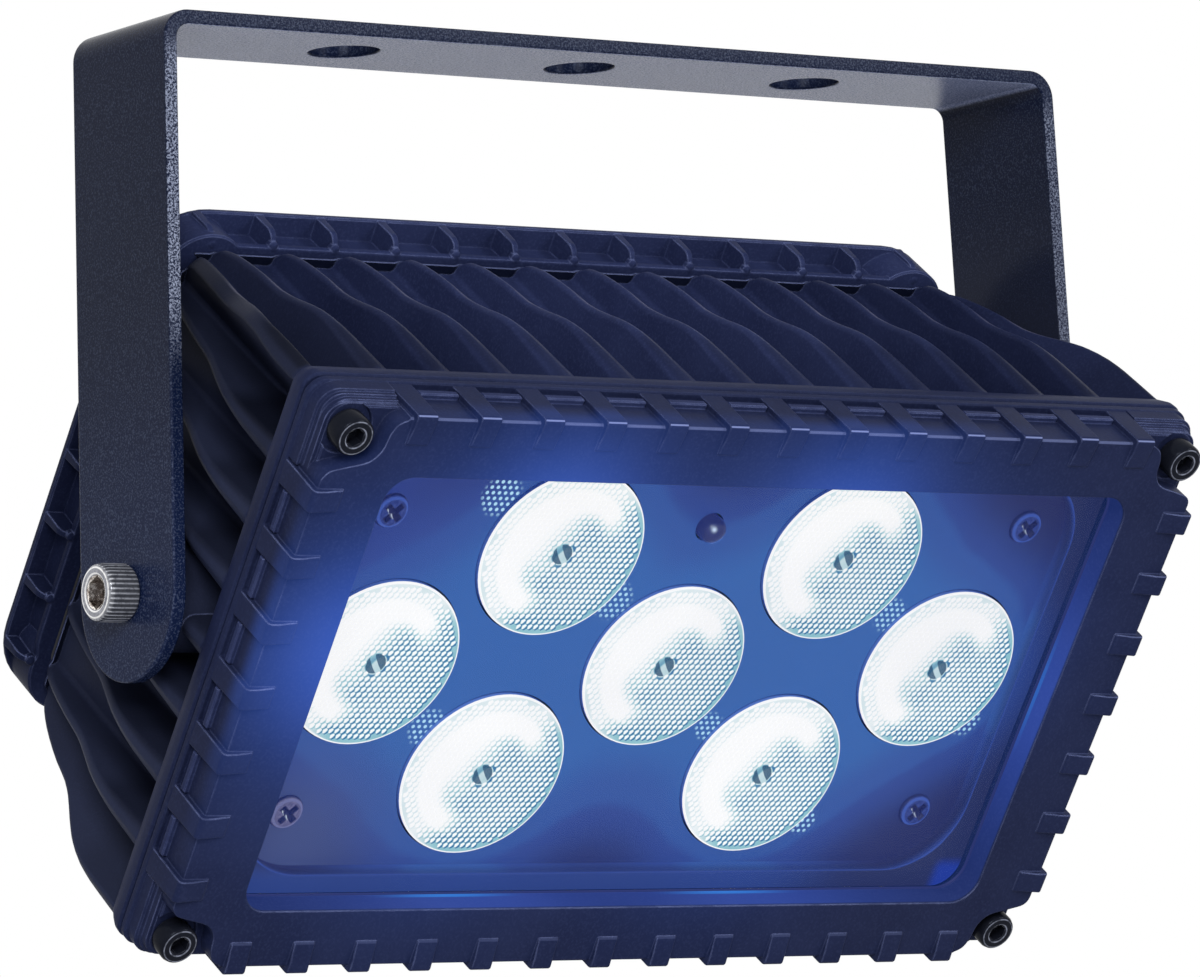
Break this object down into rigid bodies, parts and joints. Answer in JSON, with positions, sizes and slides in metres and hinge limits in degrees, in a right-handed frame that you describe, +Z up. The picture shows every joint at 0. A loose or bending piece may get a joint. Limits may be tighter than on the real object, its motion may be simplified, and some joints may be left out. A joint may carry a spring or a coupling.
{
  "type": "led floodlight",
  "caption": "Rectangular finned LED floodlight with a glass front over round lenses, hanging in a U-shaped tilting bracket with clamp holes.",
  "frame": {"origin": "middle of the bracket's top bar, on its upper face, in the axis of the middle clamp hole", "axes": "+Z up, +X along the bar and the tilt line, -Y the way the lamp looks"},
  "size_m": [0.2092, 0.1293, 0.1616],
  "materials": {
    "black_powder_coat": "matte",
    "navy_cast_coat": "satin",
    "zinc_steel": "polished",
    "black_oxide_steel": "satin",
    "black_rubber": "matte",
    "fibre_washer": "matte",
    "clear_glass": "polished",
    "moulded_lens": "gloss",
    "navy_mask_paint": "matte",
    "led_emitter": "gloss",
    "board_lacquer": "satin",
    "dark_plastic": "satin",
    "wound_copper": "satin",
    "capacitor_sleeve": "gloss"
  },
  "bodies": {
    "bracket": {"bracket": "black_powder_coat"},
    "lamp": {"bezel_screw_bottom_left": "black_oxide_steel", "bezel_screw_bottom_right": "black_oxide_steel", "bezel_screw_top_left": "black_oxide_steel", "bezel_screw_top_right": "black_oxide_steel", "bracket_bolt_left": "zinc_steel", "bracket_bolt_right": "zinc_steel", "capacitor": "capacitor_sleeve", "clamp_washer_left": "fibre_washer", "clamp_washer_right": "fibre_washer", "control_board": "board_lacquer", "digit_display": "dark_plastic", "display_window": "clear_glass", "driver_board": "board_lacquer", "front_bezel": "navy_cast_coat", "front_glass": "clear_glass", "gland_body_left": "dark_plastic", "gland_body_middle": "dark_plastic", "gland_body_right": "dark_plastic", "gland_cap_left": "dark_plastic", "gland_cap_middle": "dark_plastic", "gland_cap_right": "dark_plastic", "glass_gasket": "black_rubber", "heat_sink_housing": "navy_cast_coat", "housing_gasket": "black_rubber", "ir_receiver": "dark_plastic", "led_board": "board_lacquer", "led_emitter_1": "led_emitter", "led_emitter_2": "led_emitter", "led_emitter_3": "led_emitter", "led_emitter_4": "led_emitter", "led_emitter_5": "led_emitter", "led_emitter_6": "led_emitter", "led_emitter_7": "led_emitter", "lens_1": "moulded_lens", "lens_2": "moulded_lens", "lens_3": "moulded_lens", "lens_4": "moulded_lens", "lens_5": "moulded_lens", "lens_6": "moulded_lens", "lens_7": "moulded_lens", "lens_mask_plate": "navy_mask_paint", "mask_screw_bottom_left": "zinc_steel", "mask_screw_bottom_right": "zinc_steel", "mask_screw_top_left": "zinc_steel", "mask_screw_top_right": "zinc_steel", "rear_cover": "navy_cast_coat", "rear_gasket": "black_rubber", "rear_screw_bottom_left": "black_oxide_steel", "rear_screw_bottom_right": "black_oxide_steel", "rear_screw_top_left": "black_oxide_steel", "rear_screw_top_right": "black_oxide_steel", "transformer": "wound_copper"},
    "button_1": {"button_1": "black_rubber"},
    "button_2": {"button_2": "black_rubber"},
    "button_3": {"button_3": "black_rubber"},
    "button_4": {"button_4": "black_rubber"}
  },
  "joints": [
    {"name": "lamp_tilt", "type": "hinge", "parent": "bracket", "child": "lamp", "pos_m": [0, 0, -0.0976], "axis": [1, 0, 0], "range_deg": [-127, 53]},
    {"name": "button_1_press", "type": "slide", "parent": "lamp", "child": "button_1", "axis": [0, -0.7986, -0.6018], "range_m": [0, 0.0012], "stiffness_N_per_m": 250},
    {"name": "button_2_press", "type": "slide", "parent": "lamp", "child": "button_2", "axis": [0, -0.7986, -0.6018], "range_m": [0, 0.0012], "stiffness_N_per_m": 250},
    {"name": "button_3_press", "type": "slide", "parent": "lamp", "child": "button_3", "axis": [0, -0.7986, -0.6018], "range_m": [0, 0.0012], "stiffness_N_per_m": 250},
    {"name": "button_4_press", "type": "slide", "parent": "lamp", "child": "button_4", "axis": [0, -0.7986, -0.6018], "range_m": [0, 0.0012], "stiffness_N_per_m": 250}
  ]
}
